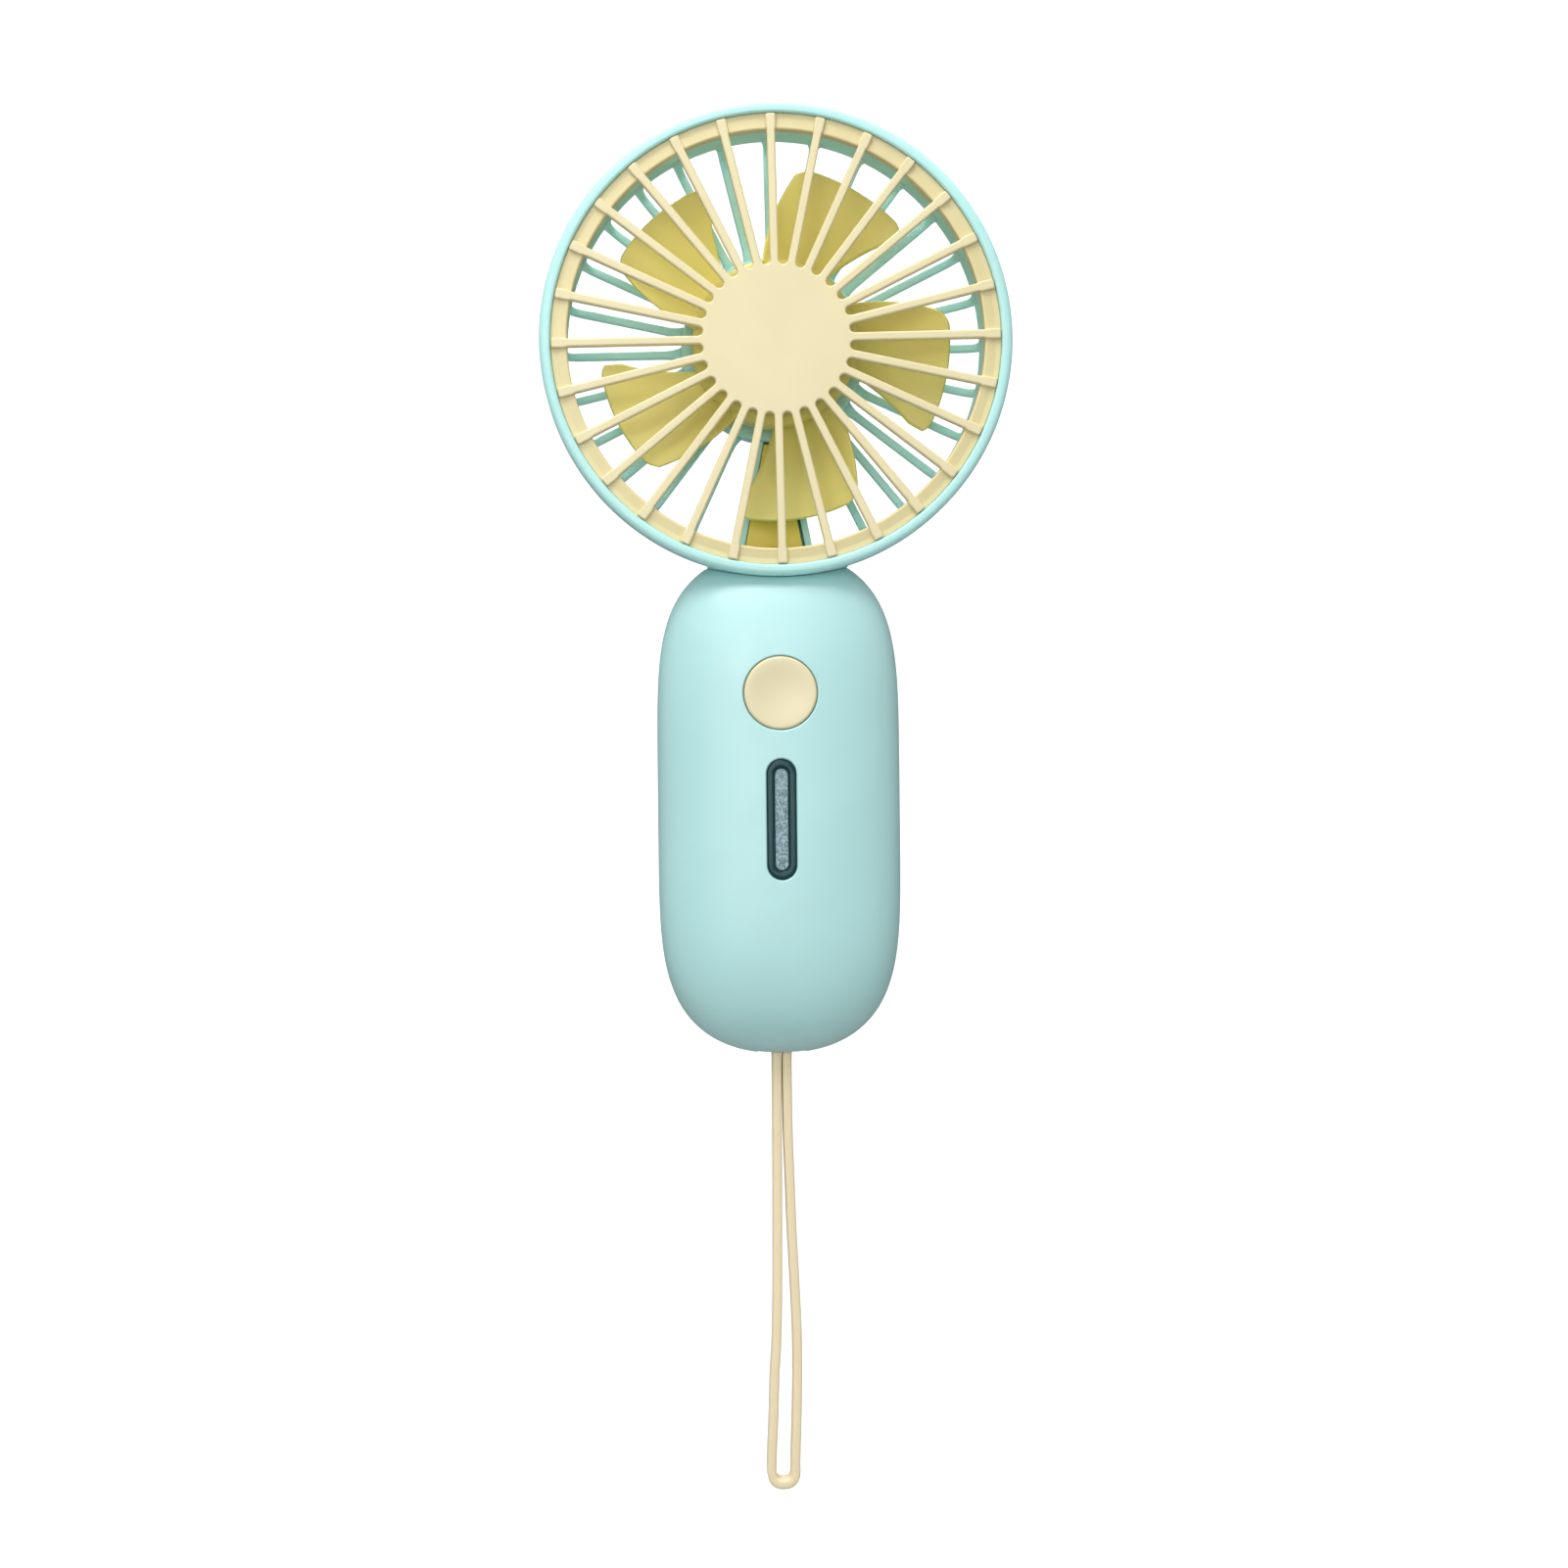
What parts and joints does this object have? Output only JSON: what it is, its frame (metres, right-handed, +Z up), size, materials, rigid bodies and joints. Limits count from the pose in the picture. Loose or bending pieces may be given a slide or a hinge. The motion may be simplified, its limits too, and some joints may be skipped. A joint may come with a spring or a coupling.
{
  "type": "handheld electric fan",
  "caption": "Battery hand fan: round caged head with a bladed impeller on a pebble-shaped handle, with a power button, an indicator window and a silicone wrist strap.",
  "frame": {"origin": "centre of the handle, where the hand holds it", "axes": "+Z up the handle towards the head, the front with the button faces -Y, +X to the right seen from the front"},
  "size_m": [0.0904, 0.028, 0.2668],
  "materials": {
    "cream_plastic": "moulded, semi-gloss",
    "mint_plastic": "moulded, satin",
    "blade_plastic": "moulded, slightly translucent",
    "steel": "plated",
    "laminated_iron": "stacked laminations",
    "copper": "enamelled copper",
    "magnet": "sintered ferrite",
    "white_plastic": "moulded",
    "bronze": "sintered bronze",
    "red_insulation": "flexible insulation",
    "black_insulation": "flexible insulation",
    "black_plastic": "moulded",
    "smoked_window": "dark, polished",
    "frosted_diffuser": "frosted",
    "circuit_green": "solder mask",
    "cell_can": "plated can",
    "cell_wrap": "heat-shrunk sleeve",
    "foam": "closed-cell foam",
    "cream_silicone": "moulded silicone, satin"
  },
  "bodies": {
    "fan_body": {"front_grille": "cream_plastic", "rear_housing": "mint_plastic", "wire_channel_cover": "blade_plastic", "rear_hub_cap": "mint_plastic", "motor_can": "steel", "motor_magnets": "magnet", "motor_end_cap": "white_plastic", "motor_bushings": "bronze", "motor_brushes": "copper", "motor_terminals": "bronze", "motor_screws": "steel", "motor_leads": "red_insulation", "handle_front_shell": "mint_plastic", "handle_back_shell": "mint_plastic", "shell_screws": "steel", "switch_body": "steel", "indicator_window": "smoked_window", "light_diffuser": "frosted_diffuser", "indicator_leds": "white_plastic", "circuit_board": "circuit_green", "board_components": "black_plastic", "board_screws": "steel", "charging_board": "circuit_green", "usb_receptacle": "steel", "usb_tongue": "black_plastic", "charging_leads": "red_insulation", "battery_cell": "cell_can", "battery_wrap": "cell_wrap", "battery_tabs": "steel", "battery_leads": "black_insulation", "battery_foam": "foam", "lanyard_pin": "steel"},
    "rotor": {"impeller": "blade_plastic", "motor_shaft": "steel", "motor_armature": "laminated_iron", "motor_windings": "copper", "motor_commutator": "copper"},
    "button": {"power_button": "cream_plastic", "switch_plunger": "black_plastic"},
    "strap": {"wrist_strap": "cream_silicone"}
  },
  "joints": [
    {"name": "impeller_spin", "type": "hinge", "parent": "fan_body", "child": "rotor", "pos_m": [0, 0, 0.0884], "axis": [0, 1, 0], "continuous": true},
    {"name": "power_button_press", "type": "slide", "parent": "fan_body", "child": "button", "axis": [0, 1, 0], "range_m": [0, 0.0005], "stiffness_N_per_m": 1500, "springref_m": -0.0005},
    {"name": "strap_swing", "type": "hinge", "parent": "fan_body", "child": "strap", "pos_m": [0, 0, -0.044], "axis": [0, 1, 0], "range_deg": [-25, 25]}
  ]
}
